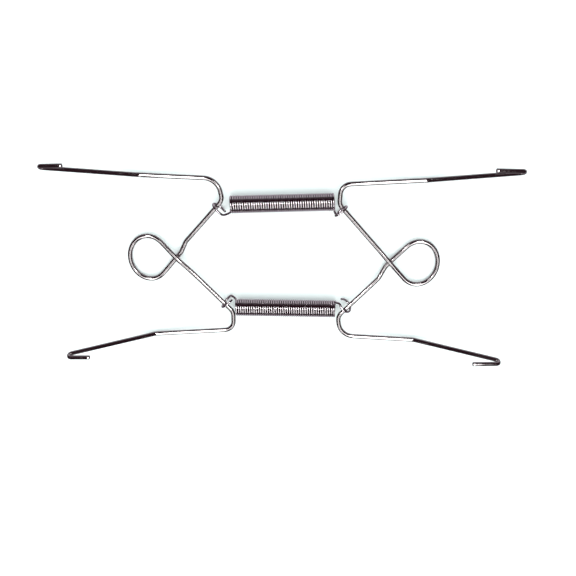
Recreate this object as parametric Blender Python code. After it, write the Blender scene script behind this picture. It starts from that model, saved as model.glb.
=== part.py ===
"""A spring-type wire plate hanger, lying flat on its springs and its two hanging loops.

Each frame is one bent wire: a hook, an arm, a knee, a leg, the hanging loop, and the same again on
the other side. Two close-wound extension springs join the frames, and each spring's end hooks
wrap the frames' legs just below the knees. Metres, +Z up, X along the springs.
"""

from math import acos, asin, atan2, ceil, cos, exp, hypot, pi, radians, sin, tan

import bpy
from mathutils import Matrix, Vector

# Frame wire
WIRE_RADIUS = 0.0010
CROSSING_GAP = 0.00016          # between the two strands where they cross
CROSSING_REACH = 0.0070         # how fast the strands close up again, away from the crossing
CROSSING_END = 2 * CROSSING_REACH
CROSSING_STEP = 0.4 * CROSSING_REACH
BEND_STEP = radians(12)         # one straight facet of a bend

# Hanging loop: an oval whose two strands leave it at the leg angle and meet at the crossing
LOOP_HALF_LENGTH = 0.0088
LOOP_HALF_WIDTH = 0.0101
LEG_ANGLE = radians(47.5)       # of the straight leg to the frame's long axis

# The second leg has a small kink just past the crossing
KINK_START = 0.0029             # along the leg from the crossing
KINK_END = (-0.0048, -0.0074)
KINK_RADIUS = 0.0030
KINKED_LEG_ANGLE = radians(46.25)

# Knees, shanks and corners, for the straight leg's side and the kinked leg's side
KNEE_RADIUS = 0.0045
STRAIGHT_SIDE = {"shank_x": -0.0241, "shank_y": 0.0286, "lean": radians(2), "corner_radius": 0.0046}
KINKED_SIDE = {"shank_x": -0.0222, "shank_y": 0.0279, "lean": radians(10), "corner_radius": 0.0075}

# Arms and hooks
ARM_BEND = (0.01355, 0.0376)    # where the arm starts to rise
ARM_BEND_RADIUS = 0.0080
ARM_SPREAD = radians(3.57)      # of the flat part of the arm, to the frame's long axis
HOOK_CORNER = (0.0574, 0.0441, 0.0123)
HOOK_TIP_Y = 0.0443
HOOK_TIP_Z = 0.0125
HOOK_RADIUS = 0.0012

# Springs
SPRING_WIRE = 0.0010
SPRING_OUTER = 0.0078
SPRING_TURNS = 45
SPRING_LENGTH = 0.0454
COIL_WIRE = 0.00086             # thinned, so that the closed turns stay clear of each other
TURN_POINTS = 8
END_HOOK_RADIUS = 0.0034        # centre line of the ring round the leg
END_HOOK_SLACK = 0.0016         # the ring's centre lies this far inboard of the leg
END_HOOK_SWEEP = radians(325)
END_HOOK_DRIFT = 0.0010         # the ring's end passes this far beside its start
END_HOOK_JOIN = radians(50)     # where on the ring the lead from the coil joins it
END_HOOK_PULL = 0.0045          # how far the lead's ends pull it straight
END_HOOK_LEAD_STEPS = 6
END_HOOK_STEP = radians(18)     # one straight facet of the ring
SEAM_GAP = 0.0003               # between a coil and its end hook, which are one wire

# Places, as the hanger lies. Both frames follow one pattern, bent by hand: the left one's arms are
# a little longer, and its hooks, from their corners to the cut ends, a little shorter
AXIS_HEIGHT = SPRING_OUTER / 2
FRAMES = {
    "left": {"x": -0.0476, "y": 0.0028, "turn": radians(181.6), "longer_arm": 0.0017, "hook": 0.0170},
    "right": {"x": 0.0486, "y": 0.0002, "turn": radians(-1.6), "longer_arm": 0, "hook": 0.0185},
}
SPRINGS = {
    "upper": {"x": 0.0001, "y": 0.0279, "slope": radians(1.4), "inward": -1},
    "lower": {"x": 0.0015, "y": -0.0212, "slope": radians(-0.9), "inward": 1},
}
# How far from the crossing, along the leg, each spring's end hook grips it
GRIPS = {
    ("left", "upper"): 0.0297,
    ("left", "lower"): 0.0299,
    ("right", "upper"): 0.0325,
    ("right", "lower"): 0.0278,
}
# How far each ring leans over, along its leg towards the knee
LEANS = {("right", "lower"): radians(30)}


def direction(angle):
    return Vector((cos(angle), sin(angle), 0))


def meeting_point(start_a, along_a, start_b, along_b):
    """Where two lines in the XY plane cross."""
    across = along_a.x * along_b.y - along_a.y * along_b.x
    apart = start_b - start_a
    travelled = (apart.x * along_b.y - apart.y * along_b.x) / across
    return start_a + travelled * along_a


def rounded(corners, radii):
    """A polyline through the corners, with an arc of each inner corner's radius."""
    points = [corners[0]]
    for before, corner, after, radius in zip(corners, corners[1:], corners[2:], radii):
        back = (before - corner).normalized()
        ahead = (after - corner).normalized()
        half_inside = back.angle(ahead) / 2
        turn = pi - 2 * half_inside
        centre = corner + (back + ahead).normalized() * radius / sin(half_inside)
        first = corner + back * radius / tan(half_inside) - centre
        axis = first.cross(corner + ahead * radius / tan(half_inside) - centre)
        steps = max(2, ceil(turn / BEND_STEP))
        for step in range(steps + 1):
            points.append(centre + Matrix.Rotation(turn * step / steps, 3, axis) @ first)
    points.append(corners[-1])
    return points


def side_corners(frame, side, leg_start, leg_along):
    """The corners from the hook's tip in to the knee, for a leg on the +Y side."""
    bend = Vector((*ARM_BEND, 0))
    arm = Vector(HOOK_CORNER) - bend
    hook = bend + arm + FRAMES[frame]["longer_arm"] * arm.normalized()
    tip = Vector((hook.x - FRAMES[frame]["hook"], HOOK_TIP_Y, HOOK_TIP_Z))
    shank = Vector((side["shank_x"], side["shank_y"], 0))
    shank_along = direction(pi / 2 - side["lean"])
    corner = meeting_point(shank, shank_along, bend, direction(ARM_SPREAD))
    knee = meeting_point(shank, shank_along, leg_start, leg_along)
    radii = [HOOK_RADIUS, ARM_BEND_RADIUS, side["corner_radius"], KNEE_RADIUS]
    return [tip, hook, bend, corner, knee], radii


def mirrored(point):
    return Vector((point.x, -point.y, point.z))


def loop_centre():
    """The oval's centre, from which both strands run at the leg angle to the crossing."""
    scaled_tangent = LOOP_HALF_WIDTH / LOOP_HALF_LENGTH / tan(LEG_ANGLE)
    return LOOP_HALF_LENGTH * hypot(1, scaled_tangent)


def loop_points():
    """Round the oval from the straight leg's strand to the kinked leg's."""
    centre = loop_centre()
    half_sweep = pi - acos(LOOP_HALF_LENGTH / centre)
    steps = ceil(2 * half_sweep / BEND_STEP)
    return [
        Vector((centre + LOOP_HALF_LENGTH * cos(angle), LOOP_HALF_WIDTH * sin(angle), 0))
        for angle in (half_sweep * (2 * step / steps - 1) for step in range(steps + 1))
    ]


def kinked_leg():
    """A point of the kinked leg and the leg's direction outwards from the crossing."""
    return Vector((*KINK_END, 0)), direction(pi + KINKED_LEG_ANGLE)


def divided(points):
    """The same polyline with its stretches near the crossing cut into short ones."""
    fine = [points[0]]
    for start, end in zip(points, points[1:]):
        near = min(start.length, end.length, ((start + end) / 2).length) < CROSSING_END
        pieces = ceil((end - start).length / CROSSING_STEP) if near else 1
        fine.extend(start.lerp(end, piece / pieces) for piece in range(1, pieces + 1))
    return fine


def parted(points, side):
    """The strand lifted or lowered where it crosses the other one."""
    half = WIRE_RADIUS + CROSSING_GAP / 2
    lifted = []
    for point in points:
        away = hypot(point.x, point.y) / CROSSING_REACH
        lifted.append(point + Vector((0, 0, side * half * exp(-away * away))))
    return lifted


def frame_route(frame):
    """The frame wire's centre line, from hook to hook. The crossing is the origin."""
    origin = Vector((0, 0, 0))
    corners, radii = side_corners(frame, STRAIGHT_SIDE, origin, direction(pi - LEG_ANGLE))
    straight = rounded(corners + [origin], radii)[:-1]

    kink_end, leg_along = kinked_leg()
    corners, radii = side_corners(frame, KINKED_SIDE, mirrored(kink_end), mirrored(leg_along))
    kink_start = direction(pi + LEG_ANGLE) * KINK_START
    corners = [mirrored(corner) for corner in corners] + [kink_end, kink_start, origin]
    kinked = rounded(corners, radii + [KINK_RADIUS, KINK_RADIUS])[:-1]

    loop = loop_points()
    middle = len(loop) // 2
    first = straight + [origin] + loop[:middle]
    second = kinked + [origin] + loop[:middle - 1:-1]
    first = parted(divided(first), 1)
    second = parted(divided(second), -1)
    return first + second[::-1]


def leg_of(frame, spring):
    """A point of the leg that this spring's end hook grips, and the leg's direction, in the frame."""
    on_straight_leg = (frame == "left") == (spring == "lower")
    if on_straight_leg:
        return Vector((0, 0, 0)), direction(pi - LEG_ANGLE)
    return kinked_leg()


def grip_of(frame, spring):
    """Where on the leg the end hook lies, in the frame."""
    start, along = leg_of(frame, spring)
    nearest = -start.dot(along)
    beyond = (GRIPS[frame, spring] ** 2 - (start + nearest * along).length_squared) ** 0.5
    return start + (nearest + beyond) * along


def flat_place(frame):
    place = FRAMES[frame]
    return Matrix.Translation((place["x"], place["y"], AXIS_HEIGHT)) @ Matrix.Rotation(place["turn"], 4, "Z")


def grip_line(frame):
    """A point on the line through the frame's two grips, and the line's direction. The outer end
    of the frame rises as it turns by the right-hand rule about that direction."""
    upper = flat_place(frame) @ grip_of(frame, "upper")
    lower = flat_place(frame) @ grip_of(frame, "lower")
    along = (upper - lower).normalized()
    return (upper + lower) / 2, along if frame == "left" else -along


def fold_axis(frame):
    """The grip line, lowered to the legs' undersides, on which they rock in the springs' rings."""
    point, along = grip_line(frame)
    return point - Vector((0, 0, WIRE_RADIUS)), along


def droop(frame):
    """How far the frame hangs down from flat until its loop rests on the ground."""
    point, along = grip_line(frame)
    outermost = flat_place(frame) @ Vector((loop_centre() + LOOP_HALF_LENGTH, 0, 0))
    reach = (outermost - point).cross(along).length
    return asin(AXIS_HEIGHT / hypot(reach, WIRE_RADIUS)) - atan2(WIRE_RADIUS, reach)


def frame_place(frame):
    point, along = grip_line(frame)
    turn = Matrix.Translation(point) @ Matrix.Rotation(-droop(frame), 4, along) @ Matrix.Translation(-point)
    return turn @ flat_place(frame)


def coil_axes(spring):
    """The coil's middle, its axis towards the right, and the directions that a turn starts in."""
    place = SPRINGS[spring]
    middle = Vector((place["x"], place["y"], AXIS_HEIGHT))
    along = direction(place["slope"])
    inward = place["inward"] * Vector((-along.y, along.x, 0))
    return middle, along, inward, along.cross(inward)


def coil_radius():
    return (SPRING_OUTER - SPRING_WIRE) / 2


def coil_route(spring):
    """A right-handed helix whose ends lie on the side nearest the hanger's middle line."""
    middle, along, inward, upright = coil_axes(spring)
    points = []
    for step in range(SPRING_TURNS * TURN_POINTS + 1):
        angle = 2 * pi * step / TURN_POINTS
        travelled = SPRING_LENGTH * (step / (SPRING_TURNS * TURN_POINTS) - 0.5)
        spoke = coil_radius() * (cos(angle) * inward + sin(angle) * upright)
        points.append(middle + travelled * along + spoke)
    return points


def hermite(start, start_pull, end, end_pull, share):
    """A cubic between two points, with the given tangents."""
    square, cube = share ** 2, share ** 3
    return (
        (2 * cube - 3 * square + 1) * start
        + (cube - 2 * square + share) * start_pull
        + (3 * square - 2 * cube) * end
        + (cube - square) * end_pull
    )


def end_hook_route(spring, frame):
    """From the coil's end, on the side nearest the middle line, into a ring round the leg."""
    middle, along, inward, upright = coil_axes(spring)
    end = 1 if frame == "right" else -1
    start = middle + end * SPRING_LENGTH / 2 * along + coil_radius() * inward
    heading = end * upright

    leg = flat_place(frame).to_3x3() @ leg_of(frame, spring)[1]
    outboard = Vector((leg.y, -leg.x, 0)).normalized()
    if outboard.x * end < 0:
        outboard = -outboard
    centre = flat_place(frame) @ grip_of(frame, spring) - END_HOOK_SLACK * outboard
    lean = LEANS.get((frame, spring), 0)
    rising = cos(lean) * heading + sin(lean) * (1 if heading.z > 0 else -1) * leg

    def ring(angle):
        drift = END_HOOK_DRIFT * angle / END_HOOK_SWEEP * leg
        return centre + END_HOOK_RADIUS * (sin(angle) * rising - cos(angle) * outboard) + drift

    def ring_heading(angle):
        return cos(angle) * rising + sin(angle) * outboard

    lead = [
        hermite(
            start,
            heading * END_HOOK_PULL,
            ring(END_HOOK_JOIN),
            ring_heading(END_HOOK_JOIN) * END_HOOK_PULL,
            step / END_HOOK_LEAD_STEPS,
        )
        for step in range(END_HOOK_LEAD_STEPS)
    ]
    lead[0] = lead[0].lerp(lead[1], SEAM_GAP / (lead[1] - lead[0]).length)
    steps = ceil((END_HOOK_SWEEP - END_HOOK_JOIN) / END_HOOK_STEP)
    turn = [
        ring(END_HOOK_JOIN + (END_HOOK_SWEEP - END_HOOK_JOIN) * step / steps)
        for step in range(steps + 1)
    ]
    return lead + turn


def clear_scene():
    for thing in list(bpy.data.objects):
        bpy.data.objects.remove(thing)


def metal(name, colour, roughness):
    material = bpy.data.materials.new(name)
    material.use_nodes = True
    shader = material.node_tree.nodes["Principled BSDF"]
    shader.inputs["Base Color"].default_value = (*colour, 1)
    shader.inputs["Metallic"].default_value = 1
    shader.inputs["Roughness"].default_value = roughness
    return material


def wire(name, points, radius, roundness, material):
    """A round wire along the points, as curve data with filled ends."""
    curve = bpy.data.curves.new(name, "CURVE")
    curve.dimensions = "3D"
    curve.twist_mode = "MINIMUM"
    curve.bevel_depth = radius
    curve.bevel_resolution = roundness
    curve.use_fill_caps = True
    spline = curve.splines.new("POLY")
    spline.points.add(len(points) - 1)
    for slot, point in zip(spline.points, points):
        slot.co = (*point, 1)
    curve.materials.append(material)
    return curve


def add(name, data, parent, world):
    piece = bpy.data.objects.new(name, data)
    bpy.context.scene.collection.objects.link(piece)
    piece.parent = parent
    if parent:
        piece.matrix_parent_inverse = parent.matrix_world.inverted()
    piece.matrix_world = world
    bpy.context.view_layer.update()
    return piece


def axis_empty(name, parent, point, along):
    """An empty on a joint's axis, its own Z along the axis."""
    turned = along.to_track_quat("Z", "Y").to_matrix().to_4x4()
    return add(name, None, parent, Matrix.Translation(point) @ turned)


def build():
    clear_scene()
    frame_finish = metal("nickel_plated_frame_wire", (0.66, 0.65, 0.66), 0.16)
    spring_finish = metal("nickel_plated_spring_wire", (0.60, 0.60, 0.63), 0.22)

    stretch = axis_empty("stretch_axis", None, Vector((0, 0, AXIS_HEIGHT)), Vector((1, 0, 0)))
    folds = {
        "left": axis_empty("left_fold_axis", None, *fold_axis("left")),
        "right": axis_empty("right_fold_axis", stretch, *fold_axis("right")),
    }
    for frame, fold in folds.items():
        name = frame + "_frame"
        add(name, wire(name, frame_route(frame), WIRE_RADIUS, 2, frame_finish), fold, frame_place(frame))

    for spring in SPRINGS:
        coil = wire(spring + "_coil", coil_route(spring), COIL_WIRE / 2, 0, spring_finish)
        add(spring + "_spring_coil", coil, None, Matrix.Identity(4))
        for frame in FRAMES:
            name = f"{spring}_spring_{frame}_hook"
            hook = wire(name, end_hook_route(spring, frame), SPRING_WIRE / 2, 1, spring_finish)
            add(name, hook, stretch if frame == "right" else None, Matrix.Identity(4))


if __name__ == "__main__":
    build()
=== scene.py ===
"""The looks of the wire plate hanger: two bent wire frames and two extension springs.

Every wire is one round tube along its own route. A frame rides on its body. A spring is one wire
from ring to ring, so its coil opens up as the hanger stretches. Metres, +Z up.
"""
from math import acos, asin, atan2, ceil, cos, exp, hypot, pi, radians, sin, tan

import bpy
import numpy as np
from mathutils import Matrix, Vector

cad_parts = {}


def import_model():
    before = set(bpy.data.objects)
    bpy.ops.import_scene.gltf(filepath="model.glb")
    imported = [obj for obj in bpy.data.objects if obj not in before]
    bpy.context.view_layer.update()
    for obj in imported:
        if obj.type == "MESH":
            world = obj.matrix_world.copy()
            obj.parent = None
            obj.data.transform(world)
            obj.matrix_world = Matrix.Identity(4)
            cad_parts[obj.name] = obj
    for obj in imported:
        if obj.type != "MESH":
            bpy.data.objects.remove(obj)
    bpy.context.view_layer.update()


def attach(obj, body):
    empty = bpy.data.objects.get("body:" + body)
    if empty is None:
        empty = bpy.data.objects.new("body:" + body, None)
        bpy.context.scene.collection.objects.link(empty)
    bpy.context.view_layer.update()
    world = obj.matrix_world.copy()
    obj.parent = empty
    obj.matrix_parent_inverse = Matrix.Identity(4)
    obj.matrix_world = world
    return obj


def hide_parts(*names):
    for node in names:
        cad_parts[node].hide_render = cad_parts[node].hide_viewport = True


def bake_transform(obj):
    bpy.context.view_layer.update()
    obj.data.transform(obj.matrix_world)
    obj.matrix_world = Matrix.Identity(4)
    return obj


# Frame wire, as the CAD model has it
WIRE_RADIUS = 0.0010
CROSSING_GAP = 0.00016
CROSSING_REACH = 0.0070
BEND_STEP = radians(3)
LOOP_HALF_LENGTH = 0.0088
LOOP_HALF_WIDTH = 0.0101
LEG_ANGLE = radians(47.5)
KINK_START = 0.0029
KINK_END = (-0.0048, -0.0074)
KINK_RADIUS = 0.0030
KINKED_LEG_ANGLE = radians(46.25)
KNEE_RADIUS = 0.0045
STRAIGHT_SIDE = {"shank_x": -0.0241, "shank_y": 0.0286, "lean": radians(2), "corner_radius": 0.0046}
KINKED_SIDE = {"shank_x": -0.0222, "shank_y": 0.0279, "lean": radians(10), "corner_radius": 0.0075}
ARM_BEND = (0.01355, 0.0376)
ARM_BEND_RADIUS = 0.0080
ARM_SPREAD = radians(3.57)
HOOK_CORNER = (0.0574, 0.0441, 0.0123)
HOOK_TIP_Y = 0.0443
HOOK_TIP_Z = 0.0125
HOOK_RADIUS = 0.0012
LONGEST_PIECE = 0.0010          # of a straight stretch of wire

# Springs
SPRING_WIRE = 0.0010
SPRING_OUTER = 0.0078
SPRING_TURNS = 45
SPRING_LENGTH = 0.0454
TURN_POINTS = 28
END_HOOK_RADIUS = 0.0034
END_HOOK_SLACK = 0.0016
END_HOOK_SWEEP = radians(325)
END_HOOK_DRIFT = 0.0010
END_HOOK_JOIN = radians(50)
END_HOOK_PULL = 0.0045
END_HOOK_STEP = radians(6)
END_HOOK_LEAD_STEPS = 14

# Places. The left frame's arms are a little longer, and its hooks a little shorter
AXIS_HEIGHT = SPRING_OUTER / 2
FRAMES = {
    "left": {"x": -0.0476, "y": 0.0028, "turn": radians(181.6), "longer_arm": 0.0017, "hook": 0.0170},
    "right": {"x": 0.0486, "y": 0.0002, "turn": radians(-1.6), "longer_arm": 0, "hook": 0.0185},
}
SPRINGS = {
    "upper": {"x": 0.0001, "y": 0.0279, "slope": radians(1.4), "inward": -1},
    "lower": {"x": 0.0015, "y": -0.0212, "slope": radians(-0.9), "inward": 1},
}
# How far from its frame's crossing each ring grips the leg, and which ring leans out of upright
GRIPS = {
    ("left", "upper"): 0.0297,
    ("left", "lower"): 0.0299,
    ("right", "upper"): 0.0325,
    ("right", "lower"): 0.0278,
}
LEANS = {("right", "lower"): radians(30)}

# Sections and cut ends
FRAME_SIDES = 24
SPRING_SIDES = 12
END_ROUNDING = 0.22             # share of the wire's radius
END_STEPS = 4

# Finishes. The rim colour is the reflection at grazing angles, and the last number is how much of the groove
# between two turns is darkened with painted shade
FRAME_FINISH = {
    "bright": (0.56, 0.53, 0.53),
    "dull": (0.38, 0.35, 0.36),
    "rim": (0.08, 0.05, 0.06),
    "roughness": 0.04,
    "bump": 0.05,
    "groove_shade": 0.0,
}
SPRING_FINISH = {
    "bright": (0.92, 0.87, 0.90),
    "dull": (0.64, 0.58, 0.62),
    "rim": (0.95, 0.90, 0.94),
    "roughness": 0.05,
    "bump": 0.02,
    "groove_shade": 0.9,
}
DRAWN_LINES = {"Scale": 7000, "Detail": 3}
DRAWN_LINES_STRETCH = 0.03
CLOUDS = {"Scale": 260, "Detail": 4}
CLOUD_EDGES = (0.35, 0.70)
CLOUD_DULLING = 0.35
SPECKS = {"Scale": 2600, "Detail": 2}
SPECK_EDGES = (0.66, 0.74)
SPECK_DULLING = 0.5
DULL_ROUGHNESS = 0.12
LINE_ROUGHNESS = 0.04
LINE_DEPTH = 0.00001
# Painted shade: the colour that darkens the grooves between a coil's turns, and where on the normal it
# starts and ends
GROOVE_SHADE_COLOUR = (0.06, 0.03, 0.04, 1)
GROOVE_SHADE_EDGES = (0.35, 0.85)      # of the sideways part of the surface's normal

# Camera and stage
CAMERA_PLACE = (0.00909, 0.09640, 0.30047)
CAMERA_TARGET = (0.00256, -0.01135, 0.0039)
CAMERA_RIGHT = (0.99978, -0.00546, -0.02005)
CAMERA_LENS = 43.39
CAMERA_SENSOR = 36
CAMERA_NEAREST = 0.005
FLOOR_SIZE = 6.0
TABLE_COLOUR = (0.93, 0.94, 0.94, 1)
TABLE_ROUGHNESS = 0.9
TABLE_GLOSS = 0.1
TABLE_REFLECTED = (0.42, 0.39, 0.42, 1)
ROOM_COLOUR = (0.028, 0.010, 0.016, 1)
AMBIENT_COLOUR = (1.32, 1.48, 1.47, 1)
BACKDROP_COLOUR = (0.97, 0.98, 0.98, 1)
HORIZON_BLUR = 0.05
KEY_STRENGTH = 1.0
KEY_SOFTNESS = radians(55)
KEY_TILT = radians(34)
KEY_COLOUR = (1.0, 0.96, 0.95)
# Overhead lights: outlines as seen from above. The rising arms reflect only the dark strip between
# the softboxes, and the level wires reflect the softboxes. No light lies beyond their +Y ends, so each
# spring keeps a dark band on that side.
SOFTBOXES = {
    "left": [
        (-0.53, -2.3), (-0.44, -1.5), (-0.40, -0.6), (-0.40, 0.4), (-0.49, 1.1),
        (-0.85, 1.1), (-0.70, 0.5), (-0.66, 0), (-0.68, -0.6), (-0.74, -1.2), (-1.00, -2.3),
    ],
    "right": [
        (0.40, -2.3), (1.05, -2.3), (0.82, -1.2), (0.75, -0.6), (0.73, -0.2), (0.73, 0.2),
        (0.84, 1.1), (0.38, 1.1), (0.345, 0.4), (0.335, -0.6), (0.36, -1.8),
    ],
}
SOFTBOX_HEIGHT = 1.5
SOFTBOX_STRENGTH = 3.6
LAMP_ROWS = {"left": (-0.68, -0.41), "right": (0.35, 0.72)}
LAMP_ROW_Y = (0.22, 0.42)
LAMP_ROW_HEIGHT = 1.49
LAMP_ROW_STRENGTH = 20
LIGHT_COLOUR = (1.0, 1.0, 1.0, 1)


def direction(angle):
    return Vector((cos(angle), sin(angle), 0))


def meeting_point(start_a, along_a, start_b, along_b):
    """Where two lines in the XY plane cross."""
    across = along_a.x * along_b.y - along_a.y * along_b.x
    apart = start_b - start_a
    travelled = (apart.x * along_b.y - apart.y * along_b.x) / across
    return start_a + travelled * along_a


def rounded(corners, radii):
    """A polyline through the corners, with an arc of each inner corner's radius."""
    points = [corners[0]]
    for before, corner, after, radius in zip(corners, corners[1:], corners[2:], radii):
        back = (before - corner).normalized()
        ahead = (after - corner).normalized()
        half_inside = back.angle(ahead) / 2
        turn = pi - 2 * half_inside
        centre = corner + (back + ahead).normalized() * radius / sin(half_inside)
        first = corner + back * radius / tan(half_inside) - centre
        axis = first.cross(corner + ahead * radius / tan(half_inside) - centre)
        steps = max(4, ceil(turn / BEND_STEP))
        for step in range(steps + 1):
            points.append(centre + Matrix.Rotation(turn * step / steps, 3, axis) @ first)
    points.append(corners[-1])
    return points


def side_corners(frame, side, leg_start, leg_along):
    """The corners from the hook's tip in to the knee, for a leg on the +Y side."""
    bend = Vector((*ARM_BEND, 0))
    arm = Vector(HOOK_CORNER) - bend
    hook = bend + arm + FRAMES[frame]["longer_arm"] * arm.normalized()
    tip = Vector((hook.x - FRAMES[frame]["hook"], HOOK_TIP_Y, HOOK_TIP_Z))
    shank = Vector((side["shank_x"], side["shank_y"], 0))
    shank_along = direction(pi / 2 - side["lean"])
    corner = meeting_point(shank, shank_along, bend, direction(ARM_SPREAD))
    knee = meeting_point(shank, shank_along, leg_start, leg_along)
    radii = [HOOK_RADIUS, ARM_BEND_RADIUS, side["corner_radius"], KNEE_RADIUS]
    return [tip, hook, bend, corner, knee], radii


def mirrored(point):
    return Vector((point.x, -point.y, point.z))


def loop_centre():
    """The oval's centre, from which both strands run at the leg angle to the crossing."""
    return LOOP_HALF_LENGTH * hypot(1, LOOP_HALF_WIDTH / LOOP_HALF_LENGTH / tan(LEG_ANGLE))


def loop_points():
    """Round the oval from the straight leg's strand to the kinked leg's."""
    centre = loop_centre()
    half_sweep = pi - acos(LOOP_HALF_LENGTH / centre)
    steps = 2 * ceil(half_sweep / BEND_STEP)
    return [
        Vector((centre + LOOP_HALF_LENGTH * cos(angle), LOOP_HALF_WIDTH * sin(angle), 0))
        for angle in (half_sweep * (2 * step / steps - 1) for step in range(steps + 1))
    ]


def kinked_leg():
    """A point of the kinked leg and the leg's direction outwards from the crossing."""
    return Vector((*KINK_END, 0)), direction(pi + KINKED_LEG_ANGLE)


def divided(points):
    """The same polyline in short pieces."""
    fine = [points[0]]
    for start, end in zip(points, points[1:]):
        pieces = max(1, ceil((end - start).length / LONGEST_PIECE))
        fine.extend(start.lerp(end, piece / pieces) for piece in range(1, pieces + 1))
    return fine


def parted(points, side):
    """The strand lifted or lowered where it crosses the other one."""
    half = WIRE_RADIUS + CROSSING_GAP / 2
    lifted = []
    for point in points:
        away = hypot(point.x, point.y) / CROSSING_REACH
        lifted.append(point + Vector((0, 0, side * half * exp(-away * away))))
    return lifted


def frame_route(frame):
    """The frame wire's centre line, from hook to hook. The crossing is the origin."""
    origin = Vector((0, 0, 0))
    corners, radii = side_corners(frame, STRAIGHT_SIDE, origin, direction(pi - LEG_ANGLE))
    straight = rounded(corners + [origin], radii)

    kink_end, leg_along = kinked_leg()
    corners, radii = side_corners(frame, KINKED_SIDE, mirrored(kink_end), mirrored(leg_along))
    kink_start = direction(pi + LEG_ANGLE) * KINK_START
    corners = [mirrored(corner) for corner in corners] + [kink_end, kink_start, origin]
    kinked = rounded(corners, radii + [KINK_RADIUS, KINK_RADIUS])

    loop = loop_points()
    middle = len(loop) // 2
    first = parted(divided(straight + loop[:middle + 1]), 1)
    second = parted(divided(kinked + loop[:middle:-1]), -1)
    return first + second[::-1]


def leg_of(frame, spring):
    """A point of the leg that this spring's end hook grips, and the leg's direction, in the frame."""
    on_straight_leg = (frame == "left") == (spring == "lower")
    if on_straight_leg:
        return Vector((0, 0, 0)), direction(pi - LEG_ANGLE)
    return kinked_leg()


def grip_of(frame, spring):
    """Where on the leg the end hook lies, in the frame."""
    start, along = leg_of(frame, spring)
    nearest = -start.dot(along)
    beyond = (GRIPS[frame, spring] ** 2 - (start + nearest * along).length_squared) ** 0.5
    return start + (nearest + beyond) * along


def flat_place(frame):
    place = FRAMES[frame]
    return Matrix.Translation((place["x"], place["y"], AXIS_HEIGHT)) @ Matrix.Rotation(place["turn"], 4, "Z")


def frame_place(frame):
    """Flat, then drooped about the line through the two grips until the loop rests on the ground."""
    upper = flat_place(frame) @ grip_of(frame, "upper")
    lower = flat_place(frame) @ grip_of(frame, "lower")
    along = (upper - lower).normalized() * (1 if frame == "left" else -1)
    point = (upper + lower) / 2
    outermost = flat_place(frame) @ Vector((loop_centre() + LOOP_HALF_LENGTH, 0, 0))
    reach = (outermost - point).cross(along).length
    droop = asin(AXIS_HEIGHT / hypot(reach, WIRE_RADIUS)) - atan2(WIRE_RADIUS, reach)
    turn = Matrix.Translation(point) @ Matrix.Rotation(-droop, 4, along) @ Matrix.Translation(-point)
    return turn @ flat_place(frame)


def coil_axes(spring):
    """The coil's middle, its axis towards the right, and the directions that a turn starts in."""
    place = SPRINGS[spring]
    middle = Vector((place["x"], place["y"], AXIS_HEIGHT))
    along = direction(place["slope"])
    inward = place["inward"] * Vector((-along.y, along.x, 0))
    return middle, along, inward, along.cross(inward)


def coil_radius():
    return (SPRING_OUTER - SPRING_WIRE) / 2


def coil_route(spring):
    """A right-handed helix whose ends lie on the side nearest the hanger's middle line."""
    middle, along, inward, upright = coil_axes(spring)
    points = []
    for step in range(SPRING_TURNS * TURN_POINTS + 1):
        angle = 2 * pi * step / TURN_POINTS
        travelled = SPRING_LENGTH * (step / (SPRING_TURNS * TURN_POINTS) - 0.5)
        spoke = coil_radius() * (cos(angle) * inward + sin(angle) * upright)
        points.append(middle + travelled * along + spoke)
    return points


def hermite(start, start_pull, end, end_pull, share):
    """A cubic between two points, with the given tangents."""
    square, cube = share ** 2, share ** 3
    return (
        (2 * cube - 3 * square + 1) * start
        + (cube - 2 * square + share) * start_pull
        + (3 * square - 2 * cube) * end
        + (cube - square) * end_pull
    )


def end_hook_route(spring, frame):
    """From the coil's end, on the side nearest the middle line, into a ring round the leg."""
    middle, along, inward, upright = coil_axes(spring)
    end = 1 if frame == "right" else -1
    start = middle + end * SPRING_LENGTH / 2 * along + coil_radius() * inward
    heading = end * upright

    leg = flat_place(frame).to_3x3() @ leg_of(frame, spring)[1]
    outboard = Vector((leg.y, -leg.x, 0)).normalized()
    if outboard.x * end < 0:
        outboard = -outboard
    centre = flat_place(frame) @ grip_of(frame, spring) - END_HOOK_SLACK * outboard
    lean = LEANS.get((frame, spring), 0)
    rising = cos(lean) * heading + sin(lean) * (1 if heading.z > 0 else -1) * leg

    def ring(angle):
        drift = END_HOOK_DRIFT * angle / END_HOOK_SWEEP * leg
        return centre + END_HOOK_RADIUS * (sin(angle) * rising - cos(angle) * outboard) + drift

    def ring_heading(angle):
        return cos(angle) * rising + sin(angle) * outboard

    lead = [
        hermite(
            start,
            heading * END_HOOK_PULL,
            ring(END_HOOK_JOIN),
            ring_heading(END_HOOK_JOIN) * END_HOOK_PULL,
            step / END_HOOK_LEAD_STEPS,
        )
        for step in range(1, END_HOOK_LEAD_STEPS)
    ]
    steps = ceil((END_HOOK_SWEEP - END_HOOK_JOIN) / END_HOOK_STEP)
    turn = [
        ring(END_HOOK_JOIN + (END_HOOK_SWEEP - END_HOOK_JOIN) * step / steps)
        for step in range(steps + 1)
    ]
    return lead + turn


def spring_route(spring):
    """One wire: left ring, coil, right ring."""
    left = end_hook_route(spring, "left")
    return left[::-1] + coil_route(spring) + end_hook_route(spring, "right")


def rounded_end(end, neighbour, radius):
    """From the cut inwards, round its rim: points of the centre line, and the wire's radius at each."""
    rounding = END_ROUNDING * radius
    inward = (neighbour - end).normalized()
    line, radii = [], []
    for step in range(END_STEPS + 1):
        angle = pi / 2 * step / END_STEPS
        line.append(end + rounding * (1 - cos(angle)) * inward)
        radii.append(radius - rounding * (1 - sin(angle)))
    return line, radii


def rounded_ends(points, radius):
    """The centre line with extra points near its ends, and the wire's radius at each point."""
    first, first_radii = rounded_end(points[0], points[1], radius)
    last, last_radii = rounded_end(points[-1], points[-2], radius)
    line = first + points[1:-1] + last[::-1]
    radii = first_radii + [radius] * (len(points) - 2) + last_radii[::-1]
    return line, radii


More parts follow.
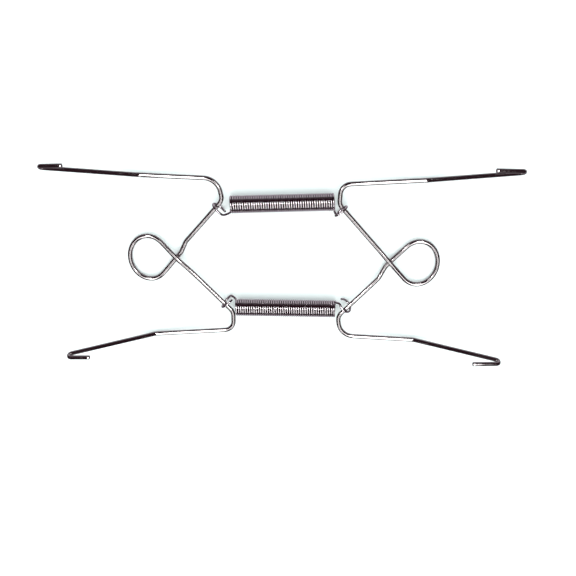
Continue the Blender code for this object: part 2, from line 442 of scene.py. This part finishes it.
def wire_rings(points, radius, sides):
    """The vertices of a round wire, ring by ring, and each one's place round the wire and along it."""
    line, radii = rounded_ends(points, radius)
    centre = np.array([tuple(point) for point in line])
    tangent = np.gradient(centre, axis=0)
    tangent /= np.linalg.norm(tangent, axis=1)[:, None]
    travelled = np.concatenate([[0], np.cumsum(np.linalg.norm(np.diff(centre, axis=0), axis=1))])

    side = Vector(tangent[0]).orthogonal().normalized()
    verts, places = [], []
    for here, along, size, distance in zip(centre, tangent, radii, travelled):
        along = Vector(along)
        side = (side - along * side.dot(along)).normalized()
        other = along.cross(side)
        for corner in range(sides):
            angle = 2 * pi * corner / sides
            verts.append(tuple(Vector(here) + size * (cos(angle) * side + sin(angle) * other)))
            places.append((radius * cos(angle), radius * sin(angle), distance))
    return verts, places


def wire_faces(rings, sides):
    """Quads between the rings, then the two cut ends."""
    faces = []
    for ring in range(rings - 1):
        for corner in range(sides):
            following = (corner + 1) % sides
            low, high = ring * sides, (ring + 1) * sides
            faces.append((low + corner, low + following, high + following, high + corner))
    faces.append(tuple(range(sides - 1, -1, -1)))
    faces.append(tuple(range((rings - 1) * sides, rings * sides)))
    return faces


def wire(name, points, radius, sides, material):
    """A round wire along the points, with cut ends whose rims are a little rounded. Its places round
    and along the wire are kept on its points for the material."""
    verts, places = wire_rings(points, radius, sides)
    mesh = bpy.data.meshes.new(name)
    mesh.from_pydata(verts, [], wire_faces(len(verts) // sides, sides))
    mesh.shade_smooth()
    for cut in mesh.polygons[-2:]:
        cut.use_smooth = False
    stored = mesh.attributes.new("wire_place", "FLOAT_VECTOR", "POINT")
    stored.data.foreach_set("vector", np.array(places, np.float32).ravel())
    mesh.materials.append(material)
    mesh.update()
    piece = bpy.data.objects.new(name, mesh)
    bpy.context.scene.collection.objects.link(piece)
    return piece


class Nodes:
    """Adds and links the nodes of one material or world."""

    def __init__(self, tree):
        self.tree = tree
        tree.nodes.clear()

    def add(self, kind, inputs=None, **settings):
        node = self.tree.nodes.new(kind)
        for name, value in settings.items():
            setattr(node, name, value)
        for name, value in (inputs or {}).items():
            if isinstance(value, bpy.types.NodeSocket):
                self.tree.links.new(value, node.inputs[name])
            else:
                node.inputs[name].default_value = value
        return node

    def maths(self, operation, *values):
        return self.add("ShaderNodeMath", dict(enumerate(values)), operation=operation).outputs[0]

    def ramp(self, value, low, high):
        """Runs smoothly from 0 to 1 as value goes from low to high."""
        inputs = {"Value": value, "From Min": low, "From Max": high}
        return self.add("ShaderNodeMapRange", inputs, interpolation_type="SMOOTHSTEP").outputs[0]

    def noise(self, place, pattern):
        return self.add("ShaderNodeTexNoise", {"Vector": place, **pattern}).outputs[0]

    def mixed(self, share, first, second):
        """Between two colours, whose sockets are the mix node's numbers 6 and 7."""
        inputs = {"Factor": share, 6: first, 7: second}
        return self.add("ShaderNodeMix", inputs, data_type="RGBA").outputs[2]


def nickel(name, finish):
    """Nickel-plated drawn wire: faint lines along it, a cloudy plate and a few dull specks. Painted shade
    darkens the sides that face along X, in the grooves where a coil's turns touch."""
    material = bpy.data.materials.new(name)
    material.use_nodes = True
    nodes = Nodes(material.node_tree)
    place = nodes.add("ShaderNodeAttribute", attribute_name="wire_place").outputs["Vector"]
    stretch = {"Vector": place, "Scale": (1, 1, DRAWN_LINES_STRETCH)}
    lines = nodes.noise(nodes.add("ShaderNodeMapping", stretch).outputs[0], DRAWN_LINES)
    cloudy = nodes.ramp(nodes.noise(place, CLOUDS), *CLOUD_EDGES)
    speckled = nodes.ramp(nodes.noise(place, SPECKS), *SPECK_EDGES)
    cloudy = nodes.maths("MULTIPLY", cloudy, CLOUD_DULLING)
    speckled = nodes.maths("MULTIPLY", speckled, SPECK_DULLING)
    dulled = nodes.maths("MAXIMUM", cloudy, speckled)
    plate = nodes.mixed(dulled, (*finish["bright"], 1), (*finish["dull"], 1))

    # Painted shade: the base colour darkens on the sides facing along X, in the grooves between a coil's
    # turns
    normal = nodes.add("ShaderNodeTexCoord").outputs["Normal"]
    sideways = nodes.maths("ABSOLUTE", nodes.add("ShaderNodeSeparateXYZ", {0: normal}).outputs[0])
    groove_shaded = nodes.maths("MULTIPLY", nodes.ramp(sideways, *GROOVE_SHADE_EDGES), finish["groove_shade"])
    colour = nodes.mixed(groove_shaded, plate, GROOVE_SHADE_COLOUR)

    rough = nodes.maths("ADD", finish["roughness"], nodes.maths("MULTIPLY", dulled, DULL_ROUGHNESS))
    rough = nodes.maths("ADD", rough, nodes.maths("MULTIPLY", lines, LINE_ROUGHNESS))
    relief = {"Height": lines, "Strength": finish["bump"], "Distance": LINE_DEPTH}
    surface = {
        "Base Color": colour,
        "Metallic": 1.0,
        "Roughness": rough,
        "Specular Tint": (*finish["rim"], 1),
        "Normal": nodes.add("ShaderNodeBump", relief).outputs[0],
    }
    shader = nodes.add("ShaderNodeBsdfPrincipled", surface)
    nodes.add("ShaderNodeOutputMaterial", {"Surface": shader.outputs[0]})
    return material


def stage_sheet(name, outline, height, material):
    """A flat level sheet of the stage."""
    mesh = bpy.data.meshes.new(name)
    mesh.from_pydata([(x, y, height) for x, y in outline], [], [tuple(range(len(outline)))])
    mesh.materials.append(material)
    sheet = bpy.data.objects.new(name, mesh)
    bpy.context.scene.collection.objects.link(sheet)
    return sheet


def rectangle(low, high):
    return [low, (high[0], low[1]), high, (low[0], high[1])]


def floor():
    """A plain pale table top. What the wires reflect of it, in their own shade, comes from the world."""
    material = bpy.data.materials.new("pale_table")
    material.use_nodes = True
    shader = material.node_tree.nodes["Principled BSDF"]
    shader.inputs["Base Color"].default_value = TABLE_COLOUR
    shader.inputs["Roughness"].default_value = TABLE_ROUGHNESS
    shader.inputs["Specular IOR Level"].default_value = TABLE_GLOSS
    half = FLOOR_SIZE / 2
    table = stage_sheet("floor", rectangle((-half, -half), (half, half)), 0, material)
    table.visible_glossy = False


def overhead_light(name, outline, height, strength):
    """A glowing sheet that only the wires' reflections see."""
    material = bpy.data.materials.new(name)
    material.use_nodes = True
    nodes = Nodes(material.node_tree)
    light = nodes.add("ShaderNodeEmission", {"Color": LIGHT_COLOUR, "Strength": strength})
    nodes.add("ShaderNodeOutputMaterial", {"Surface": light.outputs[0]})
    sheet = stage_sheet(name, outline, height, material)
    sheet.visible_camera = False
    sheet.visible_diffuse = False
    sheet.visible_shadow = False


def overhead_lights():
    """A long softbox each side of the camera, with a row of brighter lamps across it."""
    for side, outline in SOFTBOXES.items():
        overhead_light(side + "_softbox", outline, SOFTBOX_HEIGHT, SOFTBOX_STRENGTH)
        low, high = LAMP_ROWS[side]
        row = rectangle((low, LAMP_ROW_Y[0]), (high, LAMP_ROW_Y[1]))
        overhead_light(side + "_lamps", row, LAMP_ROW_HEIGHT, LAMP_ROW_STRENGTH)


def studio():
    """A dim room round the softboxes, an even light on the table, and a soft key from the -Y side."""
    world = bpy.data.worlds.new("studio")
    bpy.context.scene.world = world
    world.use_nodes = True
    nodes = Nodes(world.node_tree)
    way = nodes.add("ShaderNodeTexCoord").outputs["Generated"]
    height = nodes.add("ShaderNodeSeparateXYZ", {0: way}).outputs[2]
    above = nodes.ramp(height, -HORIZON_BLUR, HORIZON_BLUR)
    seen = nodes.mixed(above, TABLE_REFLECTED, ROOM_COLOUR)
    rays = nodes.add("ShaderNodeLightPath").outputs
    colour = nodes.mixed(rays["Is Diffuse Ray"], seen, AMBIENT_COLOUR)
    colour = nodes.mixed(rays["Is Camera Ray"], colour, BACKDROP_COLOUR)
    background = nodes.add("ShaderNodeBackground", {"Color": colour})
    nodes.add("ShaderNodeOutputWorld", {"Surface": background.outputs[0]})

    key = bpy.data.lights.new("key", "SUN")
    key.energy = KEY_STRENGTH
    key.angle = KEY_SOFTNESS
    key.color = KEY_COLOUR
    lamp = bpy.data.objects.new("key", key)
    lamp.rotation_euler = (KEY_TILT, 0, 0)
    lamp.visible_glossy = False
    bpy.context.scene.collection.objects.link(lamp)


def camera():
    """At the picture's angle: almost overhead, leaning to the +Y side."""
    back = (Vector(CAMERA_PLACE) - Vector(CAMERA_TARGET)).normalized()
    right = Vector(CAMERA_RIGHT)
    right = (right - back * right.dot(back)).normalized()
    up = back.cross(right)
    data = bpy.data.cameras.new("camera")
    data.lens = CAMERA_LENS
    data.sensor_width = CAMERA_SENSOR
    data.clip_start = CAMERA_NEAREST
    eye = bpy.data.objects.new("camera", data)
    turned = Matrix((right, up, back)).transposed().to_4x4()
    eye.matrix_world = Matrix.Translation(CAMERA_PLACE) @ turned
    bpy.context.scene.collection.objects.link(eye)
    bpy.context.scene.camera = eye


def make_frames(finish):
    """Each frame's wire, in its CAD node's place."""
    for frame in FRAMES:
        place = frame_place(frame)
        points = [place @ point for point in frame_route(frame)]
        piece = wire(frame + "_frame_wire", points, WIRE_RADIUS, FRAME_SIDES, finish)
        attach(piece, frame + "_frame")
        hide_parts(frame + "_frame")


def make_springs(finish):
    """Each spring's wire, in place of its coil and end hooks, opening over the coil's length."""
    for spring in SPRINGS:
        points = spring_route(spring)
        piece = wire(spring + "_spring_wire", points, SPRING_WIRE / 2, SPRING_SIDES, finish)
        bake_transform(piece)
        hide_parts(*(f"{spring}_spring_{part}" for part in ("coil", "left_hook", "right_hook")))


def main():
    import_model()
    camera()
    floor()
    overhead_lights()
    studio()
    make_frames(nickel("frame_wire", FRAME_FINISH))
    make_springs(nickel("spring_wire", SPRING_FINISH))
    bpy.context.scene.view_settings.view_transform = "Standard"


main()
